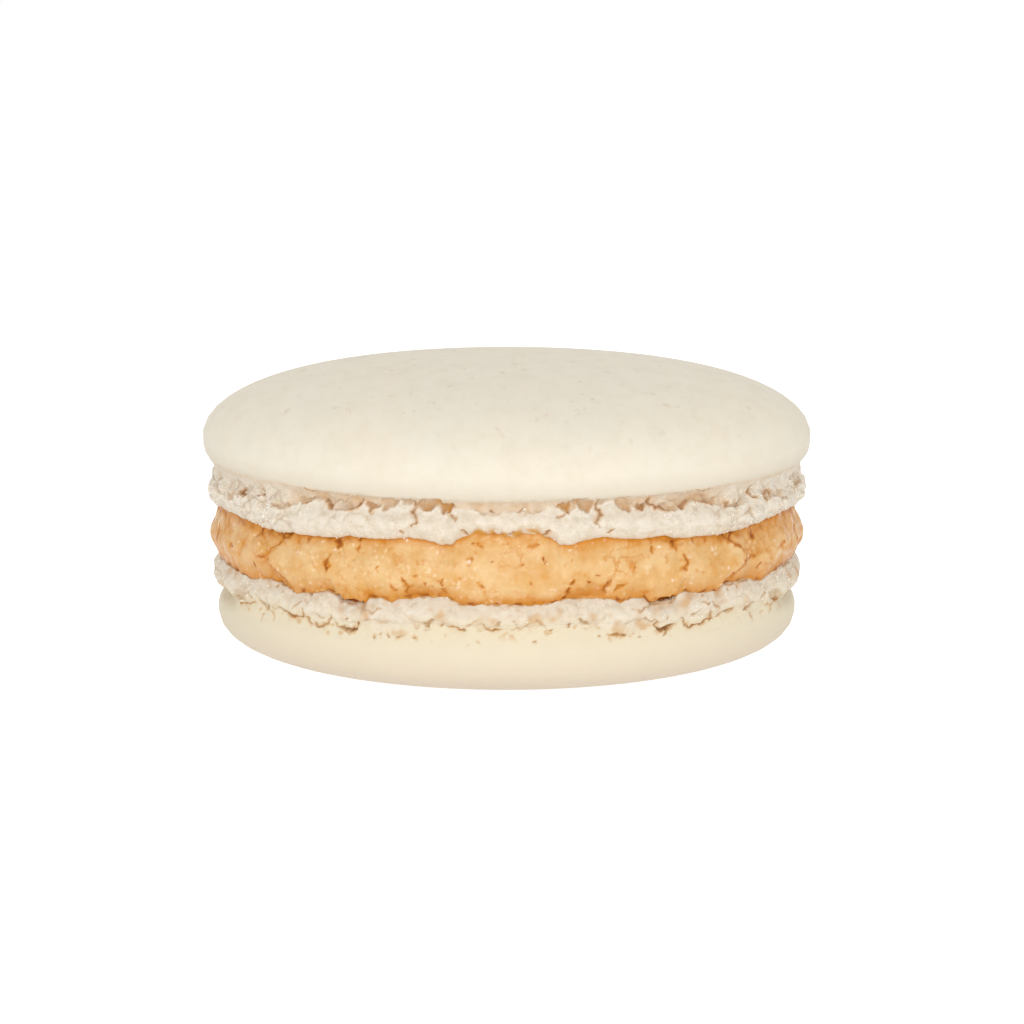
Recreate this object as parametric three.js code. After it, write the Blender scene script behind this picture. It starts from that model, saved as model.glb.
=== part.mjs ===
// French macaron: two baked almond shells, each with a ruffled foot, around a layer of nut cream.
// Millimetres, +Z up. The origin is on the table under the middle and the front faces -Y.
import * as THREE from "three";

// Whole biscuit
const HEIGHT = 22.36;
const GAP = 0.3; // clearance between the cream and each shell
const COLUMNS = 96; // steps round the edge

// Upper shell: a low dome above a ruffled foot
const CAP_RADIUS = 23.0;
const CAP_WIDEST_Z = 16.68;
const CAP_ROUNDNESS = [2.94, 1.91]; // superellipse exponents, outwards and upwards
const CAP_SIDE = [22.92, 15.8];
const CAP_EDGE = [22.75, 15.25]; // radius and height where the smooth skin ends
const CAP_UNDERSIDE = [22.4, 15.05];
const UPPER_RECESS = [22.1, 14.6]; // groove between the skin and the foot
const UPPER_FOOT_BULGE = [22.69, 12.8];
const UPPER_SHOULDER = [22.57, 13.5];
const UPPER_FRILL = [22.35, 14.25]; // jagged top of the foot, just under the groove
const UPPER_LOWER_BULGE = [22.45, 0.5]; // radius, and height above the lip
const UPPER_LIP_Z = 11.5; // mean height of the foot's lower lip
const UPPER_BACK_Z = 11.6; // flat back of the upper shell

// The upper lip climbs at the front and hangs in two small drips beside the middle
const FRONT_RISE = { height: 1.3, spread: 24, at: [0] };
const DRIPS = { height: -0.5, spread: 3.2, at: [-10.5, 10.5] };

// Lower shell: the same kind of shell turned over, resting on its flattened dome
const BASE_RADIUS = 22.09;
const BASE_WIDEST_Z = 3.85;
const BASE_ROUNDNESS = [1.44, 3.4];
const REST_RADIUS = 8.0; // flat spot that the biscuit stands on
const BASE_EDGE = [21.95, 4.75];
const LOWER_RECESS = [21.7, 5.25];
const LOWER_CRUMB = [22.1, 5.6]; // crumbly edge above the groove
const LOWER_FOOT_BULGE = [22.42, 6.4];
const LOWER_UPPER_BULGE = [22.34, 0.7]; // radius, and depth below the lip
const LOWER_LIP_Z = 7.8; // mean height of the lower foot's top edge
const LOWER_BACK_Z = 7.6;

// Cream
const CREAM_BULGE_RADIUS = 22.6;
const CREAM_UPPER_BULGE = [22.4, 1.0]; // radius, and depth below the upper lip
const CREAM_LOWER_BULGE = [22.42, 0.85]; // radius, and height above the lower lip
const CREAM_SAG = 0.4; // the widest ring lies this far below the cream's middle

// Shared by the rims
const FLAT_BACK_RADIUS = 14.0; // inside this the backs of the shells are level
const RIM_RADIUS = 21.5; // where a shell's back meets its lip
const RIM_TUCK = 0.25; // the back is this far inside the lip's edge
const LIP_RADIUS = 22.05;
const LIP_ROUNDING = 0.05;
const CREAM_INSET = 0.05; // the cream's corners stand this far inside the lips
const CREAM_CORNER = 0.35; // and this far below or above their edges

// Unevenness round the edge, each wave as [crests in a turn, height, phase]
const UPPER_LIP_WAVES = [[3, 0.16, 0.4], [7, 0.12, 2.1], [16, 0.06, 0.9]];
const LOWER_LIP_WAVES = [[4, 0.1, 1.3], [11, 0.12, 0.2], [19, 0.09, 2.6]];
const FRILL_TOP_WAVES = [[13, 0.18, 0.3], [23, 0.15, 1.9]];
const CREVICE_WAVES = [[9, 0.22, 0.8], [17, 0.16, 2.4]];
const RUFFLES = [[11, 0.08, 1.0], [21, 0.1, 0.5], [31, 0.07, 2.2]];
const LOBES = [[8, 0.09, 0.6], [14, 0.12, 2.8], [25, 0.07, 1.4]];
const DOME_WAVES = [[2, 0.06, 0.5], [5, 0.04, 1.1]];

const DEGREE = Math.PI / 180;
const FRONT = -90 * DEGREE;

// Sum of cosine waves at an angle round the biscuit, shifted by a further phase.
function ripple(waves, angle, shift = 0) {
  return waves.reduce(
    (sum, [crests, height, phase]) => sum + height * Math.cos(crests * angle + phase + shift),
    0,
  );
}

// Smooth bumps of one height and spread, centred at given degrees from the front.
function bumps({ height, spread, at }, angle) {
  return at.reduce((sum, centre) => {
    const turned = angle - FRONT - centre * DEGREE;
    const away = Math.atan2(Math.sin(turned), Math.cos(turned)) / DEGREE;
    return sum + height * Math.exp(-((away / spread) ** 2));
  }, 0);
}

// Height of the upper foot's lower lip.
function upperLip(angle) {
  return (
    UPPER_LIP_Z +
    ripple(UPPER_LIP_WAVES, angle) +
    bumps(FRONT_RISE, angle) +
    bumps(DRIPS, angle)
  );
}

// Height of the lower foot's top edge.
function lowerLip(angle) {
  return LOWER_LIP_Z + ripple(LOWER_LIP_WAVES, angle);
}

// A ring has a radius and a height, each a number or a function of the angle.
function ring(radius, z) {
  const asFunction = (value) => (typeof value === "function" ? value : () => value);
  return { radius: asFunction(radius), z: asFunction(z) };
}

// A ring whose radius is ruffled by waves, with the ruffles turned a little from ring to ring.
function ruffled(radius, z, waves, shift) {
  return ring((angle) => radius + ripple(waves, angle, shift), z);
}

// Rings of a dome as a superellipse quarter from its widest ring to a flat spot or a point.
function domeRings({ radius, flat, widestZ, endZ, roundness, steps }) {
  const rings = [];
  for (let i = 0; i < steps; i += 1) {
    const t = (i / steps) * 90 * DEGREE;
    const out = flat + (radius - flat) * Math.cos(t) ** (2 / roundness[0]);
    const up = widestZ + (endZ - widestZ) * Math.sin(t) ** (2 / roundness[1]);
    const share = Math.cos(t);
    rings.push(ring((angle) => out + share * ripple(DOME_WAVES, angle), up));
  }
  return rings;
}

// Closed body turned from rings listed from the bottom centre round the outside to the top centre.
// The lathe makes the level body, then each ring's own waves move its points out and up.
function turnedBody(rings) {
  const profile = rings.map(({ radius, z }) => new THREE.Vector2(radius(0), z(0)));
  const geometry = new THREE.LatheGeometry(profile, COLUMNS);
  const position = geometry.getAttribute("position");
  for (let i = 0; i < position.count; i += 1) {
    const { radius, z } = rings[i % rings.length];
    const column = Math.floor(i / rings.length) % COLUMNS;
    const angle = (column / COLUMNS) * 360 * DEGREE;
    position.setXYZ(i, radius(angle) * Math.cos(angle), radius(angle) * Math.sin(angle), z(angle));
  }
  geometry.computeVertexNormals();
  return geometry;
}

function topShell() {
  const above = (rise) => (angle) => upperLip(angle) + rise;
  // Foot heights between the lip and the groove follow part of the lip's own rise.
  const follow = (z, share) => (angle) => z + share * (upperLip(angle) - UPPER_LIP_Z);
  const [lowR, lowRise] = UPPER_LOWER_BULGE;
  const [bulgeR, bulgeZ] = UPPER_FOOT_BULGE;
  const [shoulderR, shoulderZ] = UPPER_SHOULDER;
  const [frillR, frillZ] = UPPER_FRILL;
  const frillTop = (angle) => frillZ + ripple(FRILL_TOP_WAVES, angle);
  const dome = domeRings({
    radius: CAP_RADIUS,
    flat: 0,
    widestZ: CAP_WIDEST_Z,
    endZ: HEIGHT,
    roundness: CAP_ROUNDNESS,
    steps: 9,
  });
  return turnedBody([
    ring(0, UPPER_BACK_Z),
    ring(FLAT_BACK_RADIUS, UPPER_BACK_Z),
    ring(RIM_RADIUS, above(RIM_TUCK)),
    ruffled(LIP_RADIUS, above(LIP_ROUNDING), RUFFLES, 0),
    ruffled(lowR, above(lowRise), RUFFLES, 0.2),
    ruffled(bulgeR, follow(bulgeZ, 0.5), RUFFLES, 0.5),
    ruffled(shoulderR, follow(shoulderZ, 0.25), RUFFLES, 0.9),
    ruffled(frillR, frillTop, RUFFLES, 1.2),
    ring(...UPPER_RECESS),
    ring(...CAP_UNDERSIDE),
    ring(...CAP_EDGE),
    ring(...CAP_SIDE),
    ...dome,
    ring(0, HEIGHT),
  ]);
}

function filling() {
  const below = (drop) => (angle) => upperLip(angle) - drop;
  const above = (rise) => (angle) => lowerLip(angle) + rise;
  const middle = (angle) => (upperLip(angle) + lowerLip(angle)) / 2 - CREAM_SAG;
  const [upperR, upperDrop] = CREAM_UPPER_BULGE;
  const [lowerR, lowerRise] = CREAM_LOWER_BULGE;
  const cornerR = LIP_RADIUS - CREAM_INSET;
  const rimR = RIM_RADIUS - 2 * CREAM_INSET;
  const rimDrop = GAP - RIM_TUCK + CREAM_INSET;
  return turnedBody([
    ring(0, LOWER_BACK_Z + GAP),
    ring(FLAT_BACK_RADIUS, LOWER_BACK_Z + GAP),
    ring(rimR, above(rimDrop)),
    ruffled(cornerR, above(CREAM_CORNER), LOBES, 0),
    ruffled(lowerR, above(lowerRise), LOBES, 0.3),
    ruffled(CREAM_BULGE_RADIUS, middle, LOBES, 0.7),
    ruffled(upperR, below(upperDrop), LOBES, 1.1),
    ruffled(cornerR, below(CREAM_CORNER), LOBES, 1.4),
    ring(rimR, below(rimDrop)),
    ring(FLAT_BACK_RADIUS, UPPER_BACK_Z - GAP),
    ring(0, UPPER_BACK_Z - GAP),
  ]);
}

function bottomShell() {
  const below = (drop) => (angle) => lowerLip(angle) - drop;
  const [recessR, recessZ] = LOWER_RECESS;
  const [crumbR, crumbZ] = LOWER_CRUMB;
  const [bulgeR, bulgeZ] = LOWER_FOOT_BULGE;
  const [highR, highDrop] = LOWER_UPPER_BULGE;
  const wandering = (z) => (angle) => z + ripple(CREVICE_WAVES, angle);
  const dome = domeRings({
    radius: BASE_RADIUS,
    flat: REST_RADIUS,
    widestZ: BASE_WIDEST_Z,
    endZ: 0,
    roundness: BASE_ROUNDNESS,
    steps: 8,
  });
  return turnedBody([
    ring(0, 0),
    ring(REST_RADIUS, 0),
    ...dome.reverse(),
    ring(...BASE_EDGE),
    ring(recessR, wandering(recessZ)),
    ruffled(crumbR, wandering(crumbZ), RUFFLES, 2.4),
    ruffled(bulgeR, bulgeZ, RUFFLES, 2.0),
    ruffled(highR, below(highDrop), RUFFLES, 1.6),
    ruffled(LIP_RADIUS, below(LIP_ROUNDING), RUFFLES, 1.2),
    ring(RIM_RADIUS, below(RIM_TUCK)),
    ring(FLAT_BACK_RADIUS, LOWER_BACK_Z),
    ring(0, LOWER_BACK_Z),
  ]);
}

function named(name, geometry, look) {
  const mesh = new THREE.Mesh(geometry, new THREE.MeshStandardMaterial(look));
  mesh.name = name;
  return mesh;
}

const SHELL_LOOK = { color: 0xf1e8d6, roughness: 0.62, metalness: 0 };
const CREAM_LOOK = { color: 0xebc08a, roughness: 0.45, metalness: 0 };

const macaron = new THREE.Group();
macaron.add(
  named("top_shell", topShell(), SHELL_LOOK),
  named("filling", filling(), CREAM_LOOK),
  named("bottom_shell", bottomShell(), SHELL_LOOK),
);

export default macaron;
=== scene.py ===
"""French macaron: two cream-coloured baked shells with crumbly feet around a caramel nut cream.

Sizes are in millimetres, angles in degrees round the biscuit from its front (-Y), positive towards +X.
"""

import math
from itertools import product

import bpy
import numpy as np
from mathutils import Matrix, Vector


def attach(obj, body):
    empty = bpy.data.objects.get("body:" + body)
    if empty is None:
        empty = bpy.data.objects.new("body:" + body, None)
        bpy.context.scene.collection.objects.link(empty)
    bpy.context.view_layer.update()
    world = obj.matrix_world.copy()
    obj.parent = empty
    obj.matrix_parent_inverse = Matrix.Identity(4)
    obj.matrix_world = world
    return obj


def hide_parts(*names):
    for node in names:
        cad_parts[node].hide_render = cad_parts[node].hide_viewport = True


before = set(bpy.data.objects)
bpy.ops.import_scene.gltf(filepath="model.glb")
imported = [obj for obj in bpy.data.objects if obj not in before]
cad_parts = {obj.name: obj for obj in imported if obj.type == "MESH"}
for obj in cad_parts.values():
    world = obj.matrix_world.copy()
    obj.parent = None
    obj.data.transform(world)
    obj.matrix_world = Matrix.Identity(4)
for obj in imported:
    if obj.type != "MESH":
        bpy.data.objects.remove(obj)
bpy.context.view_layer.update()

MM = 0.001

# ---------------------------------------------------------------- camera

CAMERA_AWAY = 230.0
CAMERA_TILT = 9.5
CAMERA_AIM = (0.40, 0.0, 10.58)
FOCAL_PIXELS = 3011.6
IMAGE_PIXELS = 1024
SENSOR = 36.0


def make_camera():
    """Camera at a distance from the point it aims at, looking down by the tilt angle."""
    tilt = math.radians(CAMERA_TILT)
    aim = Vector(CAMERA_AIM) * MM
    back = Vector((0, -math.cos(tilt), math.sin(tilt)))
    data = bpy.data.cameras.new("camera")
    data.sensor_width = SENSOR
    data.lens = FOCAL_PIXELS / IMAGE_PIXELS * SENSOR
    data.clip_start, data.clip_end = 0.01, 20
    camera = bpy.data.objects.new("camera", data)
    camera.location = aim + back * CAMERA_AWAY * MM
    camera.rotation_euler = (-back).to_track_quat("-Z", "Y").to_euler()
    bpy.context.collection.objects.link(camera)
    bpy.context.scene.camera = camera


make_camera()

# ---------------------------------------------------------------- sizes

EDGE_RADIUS = 22.3  # millimetres along the edge are measured at this radius
DEGREE = math.radians(EDGE_RADIUS)  # millimetres along the edge in one degree
UPPER_BACK_Z = 11.5
LOWER_BACK_Z = 7.75

FINE = 1408  # points round the crumbly rows, 0.1 mm apart
COARSE = FINE // 4  # points round the smooth rows
STEP = 0.09  # height of a crumbly row
CAP_STEP = 0.9  # from one smooth ring to the next
BASE_STEP = 0.7


def smooth(value, low, high):
    """Smooth step: 0 below low, 1 above high, an S-curve between."""
    t = np.clip((value - low) / (high - low), 0, 1)
    return t * t * (3 - 2 * t)


def bump(value, centre, spread):
    """Bell curve of height 1 around a centre."""
    return np.exp(-(((value - centre) / spread) ** 2))


# ---------------------------------------------------------------- noise

SQUEEZE = np.array([1, 0.6, 1])  # lengths front to back count for less, so marks run longer round the sides
GOLDEN = math.pi * (3 - math.sqrt(5))
SPIRAL = (np.arange(256) + 0.5) / 128 - 1
SLOPES = np.stack(
    [
        np.sqrt(1 - SPIRAL**2) * np.cos(GOLDEN * np.arange(256)),
        np.sqrt(1 - SPIRAL**2) * np.sin(GOLDEN * np.arange(256)),
        SPIRAL,
    ],
    axis=-1,
)


def shuffled(cell, seed):
    """A pseudo-random 32-bit number for each integer cell, by odd multipliers and shifted bits."""
    x, y, z = (cell[..., i].astype(np.uint32) for i in range(3))
    n = x * np.uint32(0x9E3779B1) ^ y * np.uint32(0x85EBCA77) ^ z * np.uint32(0xC2B2AE3D)
    n = n ^ np.uint32(seed * 7919 + 17)
    for shift, factor in ((15, 0x2C1B3C6D), (12, 0x297A2D39), (15, 0x9E3779B1)):
        n = (n ^ (n >> np.uint32(shift))) * np.uint32(factor)
    return n ^ (n >> np.uint32(16))


def noise(points, size, seed):
    """Gradient noise, about -1 to 1: slopes at the corners of a cubic lattice, blended by a quintic curve."""
    p = points * SQUEEZE / size
    base = np.floor(p).astype(np.int64)
    f = p - base
    s = f**3 * (f * (f * 6 - 15) + 10)
    total = np.zeros(p.shape[:-1])
    for corner in product((0, 1), repeat=3):
        slope = SLOPES[shuffled(base + corner, seed) & np.uint32(255)]
        share = np.prod(np.where(corner, s, 1 - s), axis=-1)
        total += share * ((f - corner) * slope).sum(axis=-1)
    return 1.7 * total


def fractal(points, size, seed, octaves=3, fade=0.5):
    """Sum of noises, each half the size of the one before and fainter by fade."""
    return sum(noise(points, size / 2**k, seed + k) * fade**k for k in range(octaves))


def warped(points, size, reach, seed):
    """Points pushed about by three noises of one size."""
    push = [noise(points, size, seed + k) for k in range(3)]
    return points + reach * np.stack(push, axis=-1)


def cells(points, size, seed):
    """Distances, in cubes, to the nearest and next nearest of spots strewn one to a cube, and the number of
    the nearest."""
    p = points * SQUEEZE / size
    base = np.floor(p).astype(np.int64)
    f = p - base
    first = np.full(p.shape[:-1], 9.0)
    second = first.copy()
    number = np.zeros_like(first)
    for side in product((-1, 0, 1), repeat=3):
        n = shuffled(base + side, seed)
        spot = np.stack([(n >> np.uint32(b)) & np.uint32(1023) for b in (0, 10, 20)], axis=-1) / 1023
        away = np.linalg.norm(spot + side - f, axis=-1)
        nearer = away < first
        second = np.where(nearer, first, np.minimum(second, away))
        number = np.where(nearer, (n >> np.uint32(7) & np.uint32(4095)) / 4095, number)
        first = np.where(nearer, away, first)
    return first, second, number


# ---------------------------------------------------------------- lines round the edge

BACK_FROM = (80, 95)  # degrees from the front over which the drawn front gives way to the back


def turns(count):
    """Angles of a ring's points, starting at the back so that the seam is behind."""
    return np.arange(count) * 360 / count - 180


def ring_points(phi, radius, z):
    """Points at angles, radii and heights, as x, y, z in millimetres."""
    a = np.radians(phi)
    return np.stack(np.broadcast_arrays(radius * np.sin(a), -radius * np.cos(a), z), axis=-1)


def line_through(back_height, wobble, seed, knots):
    """A line round the biscuit, as a function from angle to height: straight runs between (angle, height)
    knots in front, the same on the left as on the right, and a wandering level line behind."""

    def height(phi):
        front = np.interp(np.abs(phi), *np.array(knots).T)
        around = ring_points(phi, EDGE_RADIUS, 0 * phi)
        back = back_height + wobble * (noise(around, 7, seed) + 0.6 * noise(around, 2.5, seed + 1))
        share = smooth(np.abs(phi), *BACK_FROM)
        return front * (1 - share) + back * share

    return height


def jagged(phi, size, seed):
    """Teeth of a broken crust edge: quick ups and downs along it, in millimetres."""
    around = ring_points(phi, EDGE_RADIUS, 0 * phi)
    return size * (noise(around, 0.55, seed) + 0.5 * noise(around, 0.26, seed + 1))


skin_edge = line_through(15.38, 0.1, 11, [(0, 15.3), (30, 15.3), (60, 15.4), (90, 15.45)])
upper_lip = line_through(11.8, 0.35, 21, [
    (0, 12.5), (5.8, 12.7), (9, 12.25), (9.7, 11.9), (11.3, 11.85), (14.8, 12.15), (18, 12.3), (25, 12.0),
    (30.5, 12.05), (33, 11.8), (47.5, 11.65), (66, 12.0), (73, 11.95), (82, 11.6), (90, 11.5),
])
lower_lip = line_through(7.75, 0.25, 31, [
    (0, 7.7), (8.5, 7.75), (10.7, 8.15), (15.6, 8.15), (20.4, 7.9), (21.5, 7.65), (23.7, 7.95), (26.2, 7.85),
    (27.4, 7.25), (32.8, 7.3), (33.6, 7.8), (35.2, 8.0), (38.9, 7.75), (44.3, 7.5), (46, 7.85), (52, 7.9),
    (58, 7.65), (64, 7.9), (90, 7.7),
])
plate_end = line_through(5.7, 0.4, 37, [
    (0, 6.2), (2.3, 6.05), (5, 6.4), (7.8, 5.95), (12, 6.3), (18, 5.5), (24, 5.2), (28.4, 5.9), (29.3, 5.4),
    (31.5, 5.35), (34, 5.95), (35.5, 5.45), (38.5, 5.4), (40, 5.8), (43, 5.7), (47.5, 6.2), (51.5, 5.75),
    (56, 6.1), (61, 5.6), (90, 5.6),
])
crust_end = line_through(5.0, 0.15, 41, [(0, 5.2), (20, 5.0), (34, 4.9), (90, 4.9)])
frill_top = line_through(14.0, 0.5, 47, [
    (0, 14.2), (4.5, 14.1), (9, 14.5), (11.3, 14.0), (12.6, 14.5), (14.7, 14.2), (16.4, 14.6), (19.4, 14.75),
    (22.6, 13.95), (23, 14.5), (25, 14.2), (26.5, 14.6), (31, 13.8), (33.8, 13.9), (35.5, 14.35),
    (39.9, 14.2), (41, 13.95), (46, 13.35), (52, 13.9), (54, 13.5), (58, 13.8), (66, 13.1), (72, 13.5),
    (90, 13.6),
])


# ---------------------------------------------------------------- profiles


RUN_POINTS = 40  # points worked out between two corners of a profile


def curve(corners, step):
    """Smooth curve through (radius, height) corners by Catmull-Rom pieces, as points about one step apart."""
    p = np.array(corners, float)
    p = np.vstack([2 * p[0] - p[1], p, 2 * p[-1] - p[-2]])
    t = np.linspace(0, 1, RUN_POINTS, endpoint=False)[:, None]
    runs = [
        0.5 * (2 * b + (c - a) * t + (2 * a - 5 * b + 4 * c - d) * t**2 + (3 * b - a - 3 * c + d) * t**3)
        for a, b, c, d in zip(p, p[1:], p[2:], p[3:])
    ]
    dense = np.vstack([*runs, p[-2:-1]])
    along = np.concatenate([[0], np.cumsum(np.linalg.norm(np.diff(dense, axis=0), axis=1))])
    even = np.linspace(0, along[-1], round(along[-1] / step) + 1)
    return np.stack([np.interp(even, along, dense[:, k]) for k in range(2)], axis=-1)


DOME_CORNERS = 25


def dome(radius, widest, end, outwards, upwards):
    """Corners of a dome from its widest ring to its middle: with h the part of its height that is passed,
    (r / radius)^outwards + h^upwards = 1 at every radius r."""
    t = np.radians(np.linspace(0, 90, DOME_CORNERS))
    height = widest + (end - widest) * np.sin(t) ** (2 / upwards)
    return np.stack([radius * np.cos(t) ** (2 / outwards), height], axis=-1)


# Corners run from below upwards. Each is (radius, height on a level biscuit).
UPPER_FOOT = [
    (21.5, 11.98), (21.78, 11.78), (22.02, 11.86), (22.24, 12.12), (22.48, 12.5), (22.62, 12.9),
    (22.52, 13.35), (22.24, 13.8), (22.08, 14.15), (22.1, 14.5), (22.25, 14.85), (22.48, 15.12),
    (22.64, 15.33), (22.77, 15.57), (22.87, 15.85),
]
CAP = np.vstack([(22.96, 16.3), dome(radius=23.0, widest=16.85, end=22.36, outwards=2.9, upwards=2.0)])
CREAM = [
    (21.3, 7.5), (21.68, 7.6), (21.85, 7.78), (22.0, 8.08), (22.2, 8.5), (22.42, 8.95), (22.52, 9.4),
    (22.48, 9.85), (22.32, 10.3), (22.1, 10.75), (21.94, 11.15), (21.85, 11.5), (21.78, 11.8), (21.5, 12.05),
]
LOWER_FOOT = [
    (22.0, 3.95), (21.92, 4.3), (21.72, 4.65), (21.4, 4.98), (21.12, 5.3), (21.32, 5.56), (21.78, 5.82),
    (22.1, 6.1), (22.32, 6.45), (22.28, 6.8), (22.1, 7.12), (21.88, 7.42), (21.74, 7.64), (21.62, 7.78),
    (21.3, 7.86),
]
# The base's widest ring is left out, because the lower foot's first row lies there.
BASE = dome(radius=22.0, widest=3.95, end=0.0, outwards=4.0, upwards=2.7)[:0:-1]
# Where the groove is filled, as (height, radius).
STRAIGHT = [(3.95, 22.0), (5.0, 22.0), (6.2, 22.12), (7.2, 21.5)]
LEVEL_UPPER_LIP = 11.8
LEVEL_LOWER_LIP = 7.75
LEVEL_SKIN_EDGE = 15.35
LEVEL_CRUST_END = 4.95


def level_shift(z, phi, lines):
    """How far a level height moves at each angle: the shifts of the lines above and below it, blended."""
    heights = np.array([level for level, _ in lines])
    shifts = np.stack([line(phi) - level for level, line in lines])
    place = np.interp(z, heights, np.arange(len(heights)))
    low = np.minimum(place.astype(int), len(heights) - 2)
    part = smooth(place - low, 0, 1)[:, None]
    return shifts[low] * (1 - part) + shifts[low + 1] * part


def still(level):
    """A line that stays level."""
    return level, lambda phi: 0 * phi + level


UPPER_LINES = [
    (LEVEL_UPPER_LIP, lambda phi: upper_lip(phi) + jagged(phi, 0.05, 24) * (1 + 5 * bump(phi, 0, 6))),
    (LEVEL_SKIN_EDGE, skin_edge),
    still(15.9),
]
CREAM_LINES = [(LEVEL_LOWER_LIP, lower_lip), (LEVEL_UPPER_LIP, upper_lip)]
LOWER_LINES = [
    still(3.95),
    (LEVEL_CRUST_END, crust_end),
    (LEVEL_LOWER_LIP, lambda phi: lower_lip(phi) + jagged(phi, 0.1, 34)),
]


# ---------------------------------------------------------------- rows of a turned surface


def outward(rows):
    """Unit normals of rows of points, from the cross product of steps round and steps up."""
    round_step = np.roll(rows, -1, axis=1) - np.roll(rows, 1, axis=1)
    up_step = np.gradient(rows, axis=0)
    n = np.cross(round_step, up_step)
    return n / np.maximum(np.linalg.norm(n, axis=-1, keepdims=True), 1e-12)


def blurred(field, reach):
    """Field averaged over about reach points each way, round the ring and along the rows."""
    soft = field
    for _ in range(2):
        soft = sum(np.roll(soft, k, axis=1) for k in range(-reach, reach + 1)) / (2 * reach + 1)
        padded = np.pad(soft, ((reach, reach), (0, 0)), mode="edge")
        soft = sum(padded[k : k + len(field)] for k in range(2 * reach + 1)) / (2 * reach + 1)
    return soft


def cavity(field, reach, depth):
    """From 0 on open ground to 1 where the surface lies a depth below its surroundings."""
    return np.clip((blurred(field, reach) - field) / depth, 0, 1)


def foot_rows(corners, lines):
    """Rows of points on a ruffled edge before its crumb: the profile carried round, following its lines."""
    profile = curve(corners, STEP)
    phi = turns(FINE)
    shift = level_shift(profile[:, 1], phi, lines)
    z = profile[:, 1:] + shift
    return ring_points(phi[None], profile[:, :1], z), phi[None] + 0 * z, z


# ---------------------------------------------------------------- hollows and cracks


def all_round(outlines, seed, lowest, highest):
    """Outlines of the front quarter on both sides, and again behind, stretched and shifted a little."""
    rng = np.random.default_rng(seed)
    made = []
    for *kind, points in outlines:
        for side in (-1, 1):
            made.append((*kind, [(side * a, h) for a, h in points]))
            stretch, turn, lift = rng.uniform(1.1, 1.3), rng.uniform(-3, 3), rng.uniform(-0.15, 0.15)
            behind = [
                (side * (180 - stretch * a + turn), min(max(h + lift, lowest), highest))
                for a, h in points
            ]
            made.append((*kind, behind))
    return made


HOLLOW_REACH = 0.5  # millimetres past an outline over which it can still be felt
CRACK_REACH = 0.8


def nearby(phi, z, points, reach):
    """The columns near an outline, then the places in them and its corners, in millimetres along the edge
    and up."""
    middle = points[0][0]
    x = (phi - middle + 180) % 360 - 180
    corners = np.array([(((a - middle + 180) % 360 - 180) * DEGREE, h) for a, h in points])
    along = x[0] * DEGREE
    columns = (along > corners[:, 0].min() - reach) & (along < corners[:, 0].max() + reach)
    return columns, x[:, columns] * DEGREE, z[:, columns], corners


def to_run(x, z, start, end):
    """Distance from points to a straight run, and the part of the run passed at the nearest place."""
    run = end - start
    t = np.clip(((x - start[0]) * run[0] + (z - start[1]) * run[1]) / (run @ run), 0, 1)
    return np.hypot(x - start[0] - t * run[0], z - start[1] - t * run[1]), t


def hollows(phi, z, outlines):
    """Depth, brownness and edge of hollows, crisp along their lower edge and soft along their upper one.

    An outline is (depth, brownness, points). The distance to the nearest side is taken as positive inside.
    The hollow sinks over a short way from its lower edge, and over a long way from its upper one."""
    depth, brown, rim = np.zeros_like(z), np.zeros_like(z), np.zeros_like(z)
    for deep, tone, points in outlines:
        columns, x, up, corners = nearby(phi, z, points, HOLLOW_REACH)
        away = np.full(x.shape, 9.0)
        within = np.zeros(x.shape, bool)
        for start, end in zip(corners, np.roll(corners, -1, axis=0)):
            away = np.minimum(away, to_run(x, up, start, end)[0])
            run = end - start
            if run[1] != 0:
                crosses = (start[1] > up) != (end[1] > up)
                within ^= crosses & (x < start[0] + (up - start[1]) * run[0] / run[1])
        inward = np.where(within, away, -away)
        rising = np.gradient(inward, axis=0) / np.maximum(np.gradient(up, axis=0), 1e-3)
        soft = smooth(-rising, -0.1, 0.8)
        share = smooth(inward, -0.03, 0.09 + 0.3 * soft)
        tint = tone * smooth(inward, -0.05, 0.06) * (0.8 + 0.2 * bump(inward, 0.05, 0.2))
        tint = tint * (1 - 0.35 * soft)
        depth[:, columns] = np.maximum(depth[:, columns], deep * share)
        brown[:, columns] = np.maximum(brown[:, columns], tint)
        # The rim below a hollow's crisp lower edge, later raised a little and painted pale as a highlight.
        rim[:, columns] = np.maximum(rim[:, columns], bump(inward, -0.12, 0.1) * (1 - soft))
    return depth, brown, rim


FULL_CRACK = 0.07  # half width of a crack that is fully dark


def cracks(phi, z, lines, uneven):
    """From 0 to 1 in broken lines, and from 0 to 1 in a wider band along them.

    A line is (half width in mm, points). It thins towards its ends and where it is uneven, and one thinner
    than FULL_CRACK is also fainter."""
    found, around = np.zeros_like(z), np.zeros_like(z)
    for width, points in lines:
        columns, x, up, corners = nearby(phi, z, points, CRACK_REACH)
        strength = min(1, width / FULL_CRACK)
        for i, (start, end) in enumerate(zip(corners, corners[1:])):
            away, t = to_run(x, up, start, end)
            along = (i + t) / (len(corners) - 1)
            wide = width * (0.4 + 0.9 * np.sin(math.pi * along) ** 0.6) * (1 + 0.6 * uneven[:, columns])
            core = strength * (1 - smooth(away, 0.2 * wide, 1.3 * wide))
            band = strength * (1 - smooth(away, 0.6 * wide, 3.2 * wide))
            found[:, columns] = np.maximum(found[:, columns], core)
            around[:, columns] = np.maximum(around[:, columns], band)
    return found, around


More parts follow.
